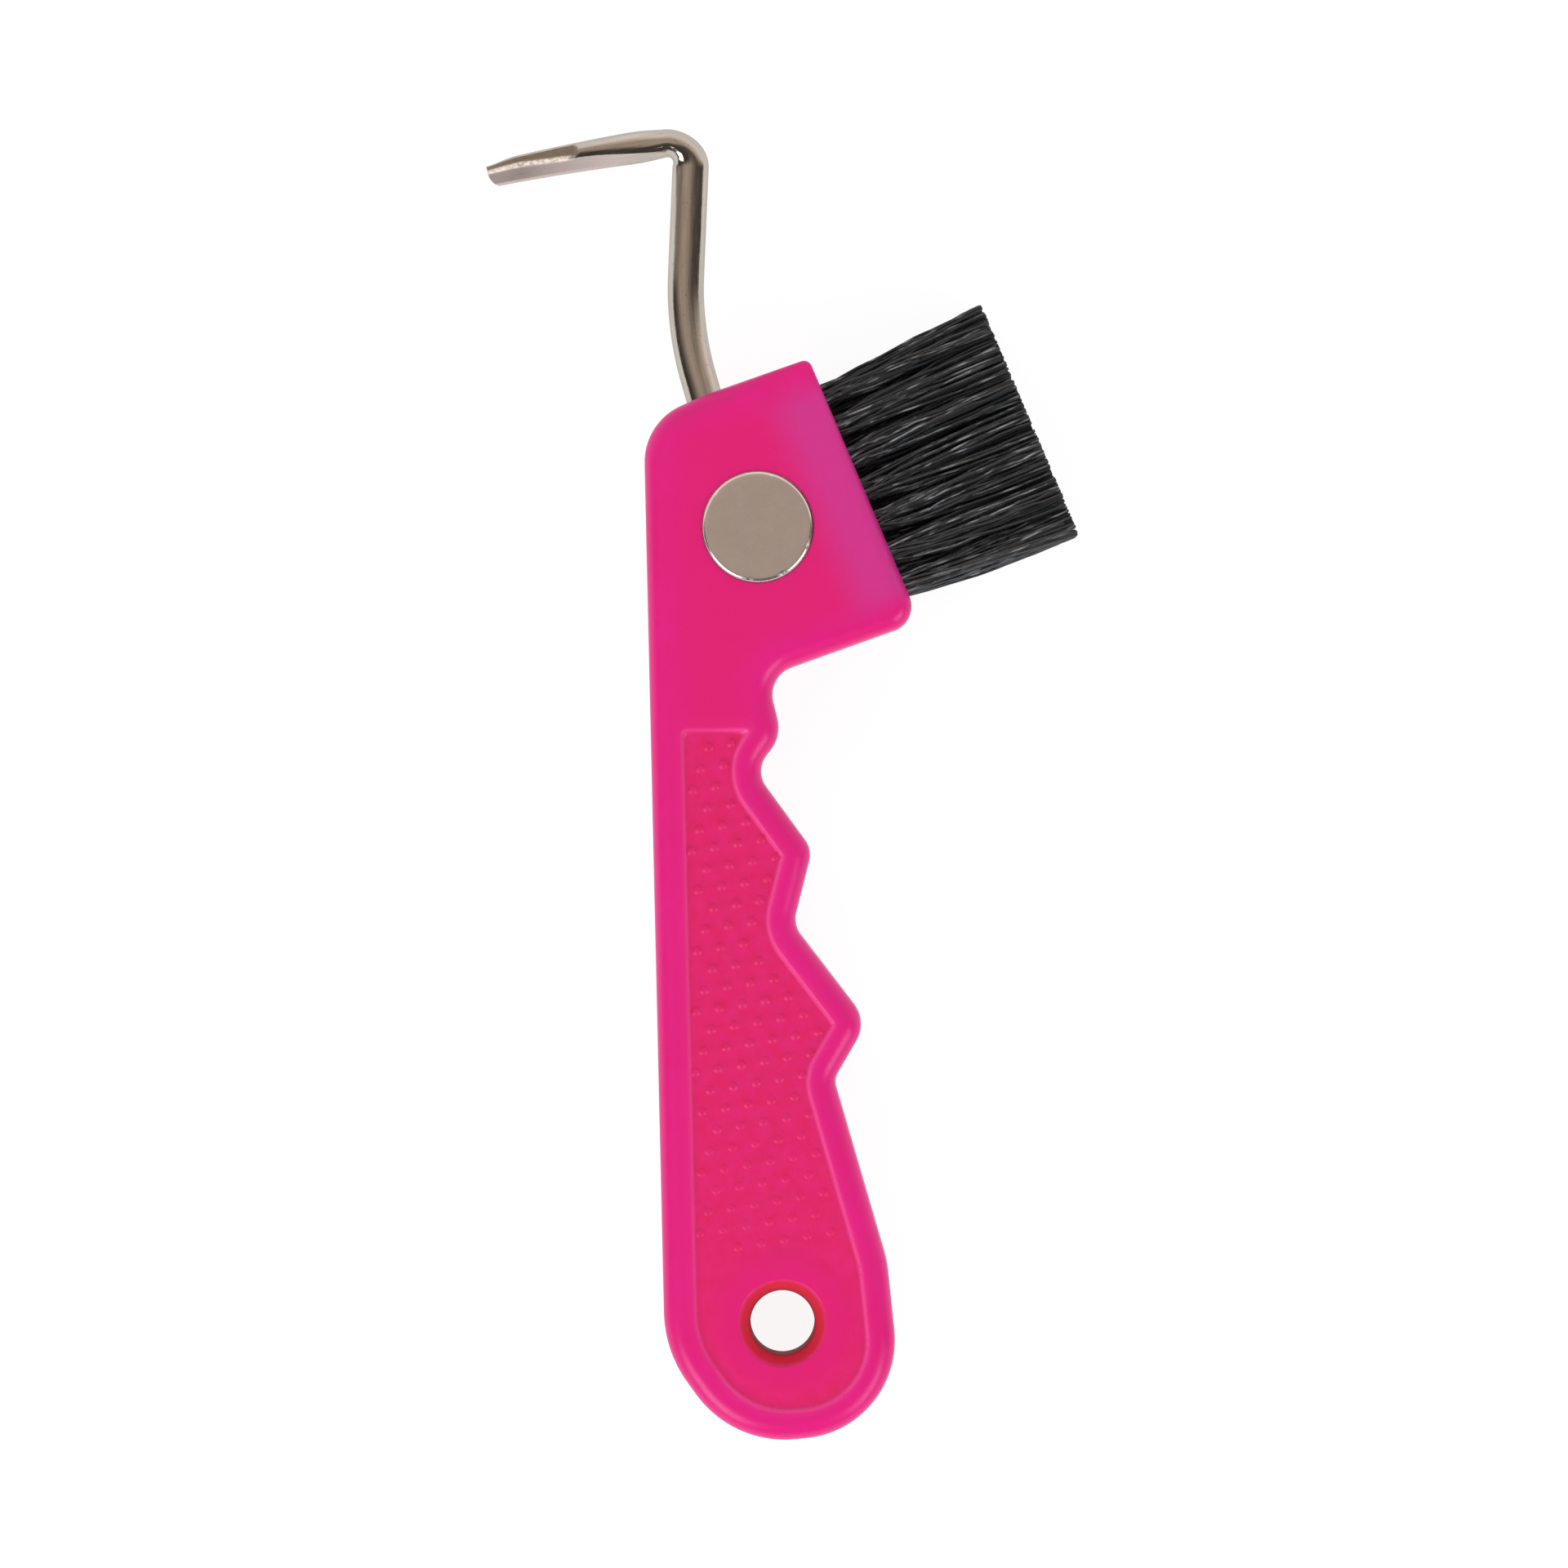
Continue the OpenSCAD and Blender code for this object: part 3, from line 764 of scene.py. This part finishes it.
def make_tuft(name, number, foot, lean, row_lean):
    """One tuft: crimped filaments that leave the hole together and spread to the cut ends."""
    shell = Shell()
    middle = (dict(ROWS)[name] + 1) / 2
    sides = 5
    a = np.arange(sides) * 2 * math.pi / sides
    for k in range(FILAMENTS):
        path = filament_path(k, foot, number, middle, lean, row_lean)
        radius = FILAMENT_R * rng.uniform(0.85, 1.1)
        loops = []
        for j, p in enumerate(path):
            tangent = path[min(j + 1, FILAMENT_STEPS)] - path[max(j - 1, 0)]
            tangent = tangent / np.linalg.norm(tangent)
            side = np.cross(tangent, [0.0, 0.0, 1.0])
            side = side / np.linalg.norm(side)
            other = np.cross(side, tangent)
            loops.append(shell.add(p + radius * (np.cos(a)[:, None] * side + np.sin(a)[:, None] * other)))
        for low, high in zip(loops, loops[1:]):
            shell.bridge(low, high)
        shell.faces.append(tuple(loops[0]))
        shell.faces.append(tuple(loops[-1]))
    return shell.build(f"bristles_{name}_{number}", 60)


# ---------------------------------------------------------------------------------------------
# Materials
# ---------------------------------------------------------------------------------------------
class Nodes:
    """A short way to write a material's nodes."""

    def __init__(self, name):
        self.material = bpy.data.materials.new(name)
        self.material.use_nodes = True
        self.tree = self.material.node_tree
        self.shader = self.tree.nodes["Principled BSDF"]

    def add(self, kind, inputs=(), **settings):
        node = self.tree.nodes.new(kind)
        for key, value in settings.items():
            setattr(node, key, value)
        for key, value in dict(inputs).items():
            self.put(node, key, value)
        return node

    def put(self, node, key, value):
        if isinstance(value, bpy.types.NodeSocket):
            self.tree.links.new(value, node.inputs[key])
        else:
            node.inputs[key].default_value = value

    def noise(self, vector, scale, detail=3.0, roughness=0.5):
        inputs = {"Vector": vector, "Scale": scale, "Detail": detail, "Roughness": roughness}
        return self.add("ShaderNodeTexNoise", inputs).outputs["Fac"]

    def remap(self, value, from_low, from_high, to_low, to_high):
        names = ("Value", "From Min", "From Max", "To Min", "To Max")
        inputs = dict(zip(names, (value, from_low, from_high, to_low, to_high)))
        return self.add("ShaderNodeMapRange", inputs).outputs["Result"]

    def math(self, operation, a, b=0.0):
        node = self.add("ShaderNodeMath", {0: a, 1: b}, operation=operation)
        return node.outputs[0]

    def mix(self, factor, a, b):
        node = self.add("ShaderNodeMix", data_type="RGBA")
        self.put(node, 0, factor)
        self.put(node, 6, a)
        self.put(node, 7, b)
        return node.outputs[2]

    def attribute(self, name):
        return self.add("ShaderNodeAttribute", attribute_name=name).outputs["Fac"]

    def bump(self, height, strength, distance, normal=None):
        inputs = {"Height": height, "Strength": strength, "Distance": distance}
        if normal is not None:
            inputs["Normal"] = normal
        return self.add("ShaderNodeBump", inputs).outputs["Normal"]

    def object_coords(self):
        return self.add("ShaderNodeTexCoord").outputs["Object"]

    def scaled(self, vector, scale):
        return self.add("ShaderNodeMapping", {"Vector": vector, "Scale": scale}).outputs["Vector"]


def pink_plastic():
    n = Nodes("pink_moulded_plastic")
    where = n.object_coords()
    cloud = n.noise(where, 90.0, 4.0)
    flow = n.noise(n.scaled(where, (260.0, 60.0, 260.0)), 1.0, 3.0)
    base = n.mix(n.remap(cloud, 0.3, 0.7, 0.0, 1.0), (0.700, 0.002, 0.178, 1), (0.730, 0.004, 0.205, 1))
    # Painted sheen: the sunk panel's mottled redder tone stands for the lesser sheen in the recess; the
    # rest keeps the paler magenta.
    mottle = n.remap(n.noise(where, 520.0, 3.0, 0.6), 0.35, 0.65, 0.0, 1.0)
    sunk_red_tone = n.mix(mottle, (0.70, 0.003, 0.11, 1), (0.72, 0.006, 0.15, 1))
    # Painted sheen: deeper red away from the rounded edges, paler magenta on them.
    base = n.mix(n.math("MULTIPLY", n.attribute("deep"), 0.75), base, (0.715, 0.003, 0.145, 1))
    base = n.mix(n.attribute("sunk"), base, sunk_red_tone)
    # Painted highlight along the panel's wall, in place of its glint.
    base = n.mix(n.attribute("lip"), base, (0.84, 0.045, 0.27, 1))
    # Painted shade on the wall of the hole's mouth.
    base = n.mix(n.attribute("in_hole"), base, (0.69, 0.011, 0.042, 1))
    # Painted shade deep in the bore.
    base = n.mix(n.attribute("bore_shade"), base, (0.27, 0.02, 0.022, 1))
    # Painted shade of the dark bristles seen through the plastic round their holes.
    base = n.mix(n.math("MULTIPLY", n.attribute("tuft_shade_inside"), 0.8), base, (0.60, 0.03, 0.26, 1))
    n.put(n.shader, "Base Color", base)
    rough = n.remap(n.noise(where, 900.0, 5.0, 0.6), 0.25, 0.75, 0.27, 0.38)
    rough = n.math("ADD", rough, n.math("MULTIPLY", n.attribute("sunk"), 0.08))
    rough = n.math("ADD", rough, n.math("MULTIPLY", n.attribute("in_hole"), 0.45))
    n.put(n.shader, "Roughness", rough)
    n.put(n.shader, "IOR", 1.46)
    n.put(n.shader, "Specular IOR Level", 0.45)
    n.put(n.shader, "Subsurface Weight", 0.12)
    n.put(n.shader, "Subsurface Radius", (0.004, 0.0008, 0.0018))
    n.put(n.shader, "Subsurface Scale", 1.0)
    fine = n.bump(n.noise(where, 4200.0, 3.0), 0.05, 0.0001)
    ripple = n.bump(flow, 0.12, 0.0003, fine)
    n.put(n.shader, "Normal", ripple)
    return n.material


def nickel_bar():
    n = Nodes("nickel_plated_bar")
    uv = n.add("ShaderNodeTexCoord").outputs["UV"]
    where = n.object_coords()
    streak = n.noise(n.scaled(uv, (46.0, 9.0, 1.0)), 1.0, 5.0, 0.65)
    long_streak = n.noise(n.scaled(uv, (14.0, 1.6, 1.0)), 1.0, 3.0)
    speck = n.remap(n.noise(where, 2600.0, 2.0), 0.66, 0.74, 0.0, 1.0)
    ground = n.attribute("ground")
    tone = n.mix(n.remap(streak, 0.35, 0.65, 0.0, 1.0), (0.60, 0.545, 0.485, 1), (0.74, 0.69, 0.63, 1))
    tone = n.mix(n.remap(long_streak, 0.45, 0.75, 0.0, 0.55), tone, (0.50, 0.44, 0.38, 1))
    tone = n.mix(n.math("MULTIPLY", speck, 0.6), tone, (0.25, 0.22, 0.2, 1))
    grind = n.noise(n.scaled(where, (700.0, 9000.0, 700.0)), 1.0, 4.0)
    dull = n.mix(n.remap(grind, 0.3, 0.7, 0.0, 1.0), (0.29, 0.24, 0.20, 1), (0.40, 0.34, 0.29, 1))
    tone = n.mix(n.attribute("pale"), tone, (0.75, 0.64, 0.60, 1))
    tone = n.mix(ground, tone, dull)
    ridge = n.attribute("ridge")
    glint = n.math("MULTIPLY", ridge, n.remap(n.noise(where, 1900.0, 4.0), 0.4, 0.58, 0.5, 1.0))
    tone = n.mix(glint, tone, (0.96, 0.83, 0.74, 1))
    n.put(n.shader, "Base Color", tone)
    n.put(n.shader, "Metallic", n.math("SUBTRACT", 1.0, n.math("MULTIPLY", glint, 0.95)))
    n.put(n.shader, "Specular Tint", (0.82, 0.77, 0.72, 1))
    rough = n.remap(streak, 0.3, 0.7, 0.06, 0.17)
    rough = n.math("ADD", rough, n.math("MULTIPLY", n.attribute("pale"), 0.18))
    rough = n.math("ADD", rough, n.math("MULTIPLY", ground, n.remap(grind, 0.3, 0.7, 0.16, 0.3)))
    n.put(n.shader, "Roughness", rough)
    plain = n.remap(n.attribute("pale"), 0.0, 0.3, 1.0, 0.0)
    drawn = n.bump(n.math("MULTIPLY", streak, plain), 0.22, 0.00008)
    pits = n.bump(speck, -0.35, 0.00006, drawn)
    n.put(n.shader, "Normal", n.bump(n.math("MULTIPLY", grind, ground), 0.5, 0.00012, pits))
    return n.material


def nickel_disc():
    n = Nodes("nickel_plated_disc")
    where = n.object_coords()
    cloud = n.noise(where, 420.0, 4.0, 0.6)
    scratch = n.noise(n.scaled(where, (9000.0, 500.0, 500.0)), 1.0, 2.0)
    tone = n.mix(n.remap(cloud, 0.3, 0.7, 0.0, 1.0), (0.86, 0.77, 0.74, 1), (0.92, 0.83, 0.80, 1))
    n.put(n.shader, "Base Color", tone)
    n.put(n.shader, "Metallic", 1.0)
    n.put(n.shader, "Roughness", n.remap(scratch, 0.3, 0.7, 0.2, 0.32))
    n.put(n.shader, "Normal", n.bump(n.noise(where, 1500.0, 4.0), 0.06, 0.0001))
    return n.material


def black_nylon():
    n = Nodes("black_nylon_bristle")
    island = n.add("ShaderNodeNewGeometry").outputs["Random Per Island"]
    where = n.object_coords()
    tone = n.mix(n.remap(island, 0.0, 1.0, 0.0, 1.0), (0.015, 0.016, 0.018, 1), (0.034, 0.035, 0.037, 1))
    brown = n.remap(n.math("FRACT", n.math("MULTIPLY", island, 7.31)), 0.86, 0.9, 0.0, 1.0)
    tone = n.mix(brown, tone, (0.055, 0.046, 0.041, 1))
    # Paler grey patches here and there on the bristles.
    grey_patches = n.remap(n.noise(where, 700.0, 3.0), 0.55, 0.75, 0.0, 0.3)
    tone = n.mix(grey_patches, tone, (0.06, 0.06, 0.061, 1))
    # Painted highlights: paler streaks along the upper side of some of the bristles, where they face the
    # light, stand in for their glints.
    turned = n.add("ShaderNodeMapping", {"Vector": where, "Rotation": (0.0, 0.0, math.radians(-23.0))})
    dash = n.noise(n.scaled(turned.outputs["Vector"], (260.0, 1500.0, 1500.0)), 1.0, 2.0)
    surface = n.add("ShaderNodeNewGeometry").outputs["Normal"]
    glint_facing = n.add("ShaderNodeVectorMath", {0: surface, 1: (-0.16, 0.38, 0.91)}, operation="DOT_PRODUCT")
    glint_facing = n.remap(glint_facing.outputs["Value"], 0.88, 0.98, 0.0, 1.0)
    some = n.remap(n.math("FRACT", n.math("MULTIPLY", island, 13.7)), 0.3, 0.5, 0.0, 1.0)
    # Painted highlight: the pale streak is laid only where the surface faces the light.
    streak = n.math("MULTIPLY", n.math("MULTIPLY", glint_facing, some), n.remap(dash, 0.5, 0.66, 0.0, 1.0))
    n.put(n.shader, "Base Color", n.mix(streak, tone, (0.27, 0.272, 0.28, 1)))
    n.put(n.shader, "Specular Tint", (0.84, 0.93, 1.0, 1))
    n.put(n.shader, "Roughness", n.remap(n.noise(where, 1600.0, 2.0), 0.3, 0.7, 0.14, 0.36))
    n.put(n.shader, "IOR", 1.5)
    n.put(n.shader, "Specular IOR Level", 0.55)
    n.put(n.shader, "Normal", n.bump(n.noise(where, 5200.0, 2.0), 0.2, 0.00005))
    return n.material


def bright_wire():
    n = Nodes("bright_flat_wire")
    where = n.object_coords()
    drawn = n.noise(n.scaled(where, (600.0, 600.0, 5200.0)), 1.0, 3.0)
    tone = n.mix(drawn, (0.62, 0.60, 0.56, 1), (0.80, 0.78, 0.74, 1))
    n.put(n.shader, "Base Color", tone)
    n.put(n.shader, "Metallic", 1.0)
    n.put(n.shader, "Roughness", n.remap(drawn, 0.3, 0.7, 0.2, 0.4))
    n.put(n.shader, "Normal", n.bump(drawn, 0.2, 0.00004))
    return n.material


def pale_floor():
    n = Nodes("pale_floor")
    where = n.object_coords()
    cloud = n.noise(where, 6.0, 3.0)
    n.put(n.shader, "Base Color", n.mix(cloud, (0.14, 0.14, 0.14, 1), (0.155, 0.155, 0.155, 1)))
    n.put(n.shader, "Roughness", 0.9)
    n.put(n.shader, "Specular IOR Level", 0.1)
    n.put(n.shader, "Emission Color", (1.0, 1.0, 1.0, 1))
    mirrored = n.add("ShaderNodeLightPath").outputs["Is Glossy Ray"]
    n.put(n.shader, "Emission Strength", n.remap(mirrored, 0.0, 1.0, 0.9, 0.68))
    return n.material


def give(piece, material):
    piece.data.materials.clear()
    piece.data.materials.append(material)


# ---------------------------------------------------------------------------------------------
# Assembly
# ---------------------------------------------------------------------------------------------
handle = make_handle()
give(handle, pink_plastic())
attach(handle, "root")
handle.visible_glossy = False
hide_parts("handle")

pick = make_pick()
give(pick, nickel_bar())
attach(pick, "root")
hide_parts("pick")

magnet = make_magnet()
give(magnet, nickel_disc())
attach(magnet, "root")
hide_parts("magnet")

nylon = black_nylon()
wire = bright_wire()
for name, number, foot, lean, row_lean in tuft_frames():
    tuft = make_tuft(name, number, foot, lean, row_lean)
    give(tuft, nylon)
    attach(tuft, "root")
    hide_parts(f"tuft_{name}_{number}")
    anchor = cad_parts[f"anchor_{name}_{number}"]
    give(anchor, wire)


# ---------------------------------------------------------------------------------------------
# Floor, light and camera
# ---------------------------------------------------------------------------------------------
def make_floor():
    size = 4.0
    mesh = bpy.data.meshes.new("floor")
    corners = [(-size, -size, 0), (size, -size, 0), (size, size, 0), (-size, size, 0)]
    mesh.from_pydata(corners, [], [(0, 1, 2, 3)])
    floor = bpy.data.objects.new("floor", mesh)
    bpy.context.scene.collection.objects.link(floor)
    floor.location.z = -0.0001
    give(floor, pale_floor())


def area_light(name, place, target, size, power, glossy=True):
    data = bpy.data.lights.new(name, "AREA")
    data.shape = "RECTANGLE"
    data.size, data.size_y = size
    data.energy = power
    light = bpy.data.objects.new(name, data)
    bpy.context.scene.collection.objects.link(light)
    light.location = place
    light.rotation_euler = (Vector(target) - Vector(place)).to_track_quat("-Z", "Y").to_euler()
    light.visible_glossy = glossy
    light.visible_camera = False
    return light


def make_world():
    """An even pale room; what gloss mirrors of it is light on the far side and dark on the near side."""
    world = bpy.data.worlds.new("studio")
    bpy.context.scene.world = world
    world.use_nodes = True
    tree = world.node_tree
    tree.nodes.clear()
    new, link = tree.nodes.new, tree.links.new
    out = new("ShaderNodeOutputWorld")
    coords = new("ShaderNodeTexCoord")
    split = new("ShaderNodeSeparateXYZ")
    link(coords.outputs["Generated"], split.inputs[0])

    def ramp_of(source, low, high):
        node = new("ShaderNodeMapRange")
        node.interpolation_type = "SMOOTHSTEP"
        link(source, node.inputs["Value"])
        node.inputs["From Min"].default_value = low
        node.inputs["From Max"].default_value = high
        return node.outputs["Result"]

    def colour_mix(factor, a, b):
        node = new("ShaderNodeMix")
        node.data_type = "RGBA"
        link(factor, node.inputs[0])
        for socket, value in ((node.inputs[6], a), (node.inputs[7], b)):
            if isinstance(value, bpy.types.NodeSocket):
                link(value, socket)
            else:
                socket.default_value = value
        return node.outputs[2]

    def math_of(operation, a, b):
        node = new("ShaderNodeMath")
        node.operation = operation
        node.use_clamp = operation == "POWER"
        for socket, value in zip(node.inputs, (a, b)):
            if isinstance(value, bpy.types.NodeSocket):
                link(value, socket)
            else:
                socket.default_value = value
        return node.outputs[0]

    far_side = ramp_of(split.outputs["Y"], 0.0, 0.24)
    far = colour_mix(ramp_of(split.outputs["Z"], 0.0, 0.8), (0.95, 0.83, 0.74, 1), (0.44, 0.37, 0.31, 1))
    sides = colour_mix(far_side, (0.06, 0.051, 0.046, 1), far)
    leaning = math_of("SUBTRACT", split.outputs["Z"], math_of("MULTIPLY", split.outputs["X"], 0.3))
    overhead = math_of("MAXIMUM", math_of("DIVIDE", math_of("SUBTRACT", leaning, 0.5), 0.54), 0.0)
    overhead = math_of("POWER", overhead, 2.0)
    overhead = math_of("MULTIPLY", overhead, ramp_of(split.outputs["Y"], -0.36, 0.0))
    mirrored = colour_mix(overhead, sides, (0.45, 0.375, 0.31, 1))
    mirror = new("ShaderNodeBackground")
    link(mirrored, mirror.inputs["Color"])
    room = new("ShaderNodeBackground")
    room.inputs["Color"].default_value = (0.96, 0.97, 0.98, 1)
    room.inputs["Strength"].default_value = 0.72
    path = new("ShaderNodeLightPath")
    backdrop = new("ShaderNodeBackground")
    backdrop.inputs["Color"].default_value = (1.0, 1.0, 1.0, 1)
    backdrop.inputs["Strength"].default_value = 1.0
    mix = new("ShaderNodeMixShader")
    link(path.outputs["Is Glossy Ray"], mix.inputs[0])
    link(room.outputs[0], mix.inputs[1])
    link(mirror.outputs[0], mix.inputs[2])
    seen = new("ShaderNodeMixShader")
    link(path.outputs["Is Camera Ray"], seen.inputs[0])
    link(mix.outputs[0], seen.inputs[1])
    link(backdrop.outputs[0], seen.inputs[2])
    link(seen.outputs[0], out.inputs["Surface"])


def make_camera():
    """Straight above the tool, with the length of the tool up the picture."""
    data = bpy.data.cameras.new("camera")
    camera = bpy.data.objects.new("camera", data)
    bpy.context.scene.collection.objects.link(camera)
    distance = 1.8
    picture_width = 0.21525
    focus_height = 0.012
    camera.location = (0.0002, 0.0, distance + focus_height)
    camera.rotation_euler = (0.0, 0.0, 0.0)
    sensor_width = 36.0
    data.sensor_width = sensor_width
    data.lens = sensor_width * distance / picture_width
    data.clip_start = 0.05
    data.clip_end = 50.0
    bpy.context.scene.camera = camera


make_floor()
make_world()
area_light("near_left_softbox", (-0.68, -0.80, 0.62), (0, 0, 0), (0.75, 0.6), 5.6)
area_light("near_right_softbox", (0.84, -0.64, 0.62), (0, 0, 0), (0.7, 0.6), 4.0)
area_light("far_fill", (-0.3, 1.0, 1.1), (0, 0, 0), (1.2, 0.8), 3.4, glossy=False)
make_camera()
bpy.context.scene.view_settings.view_transform = "Standard"
bpy.context.scene.view_settings.look = "None"
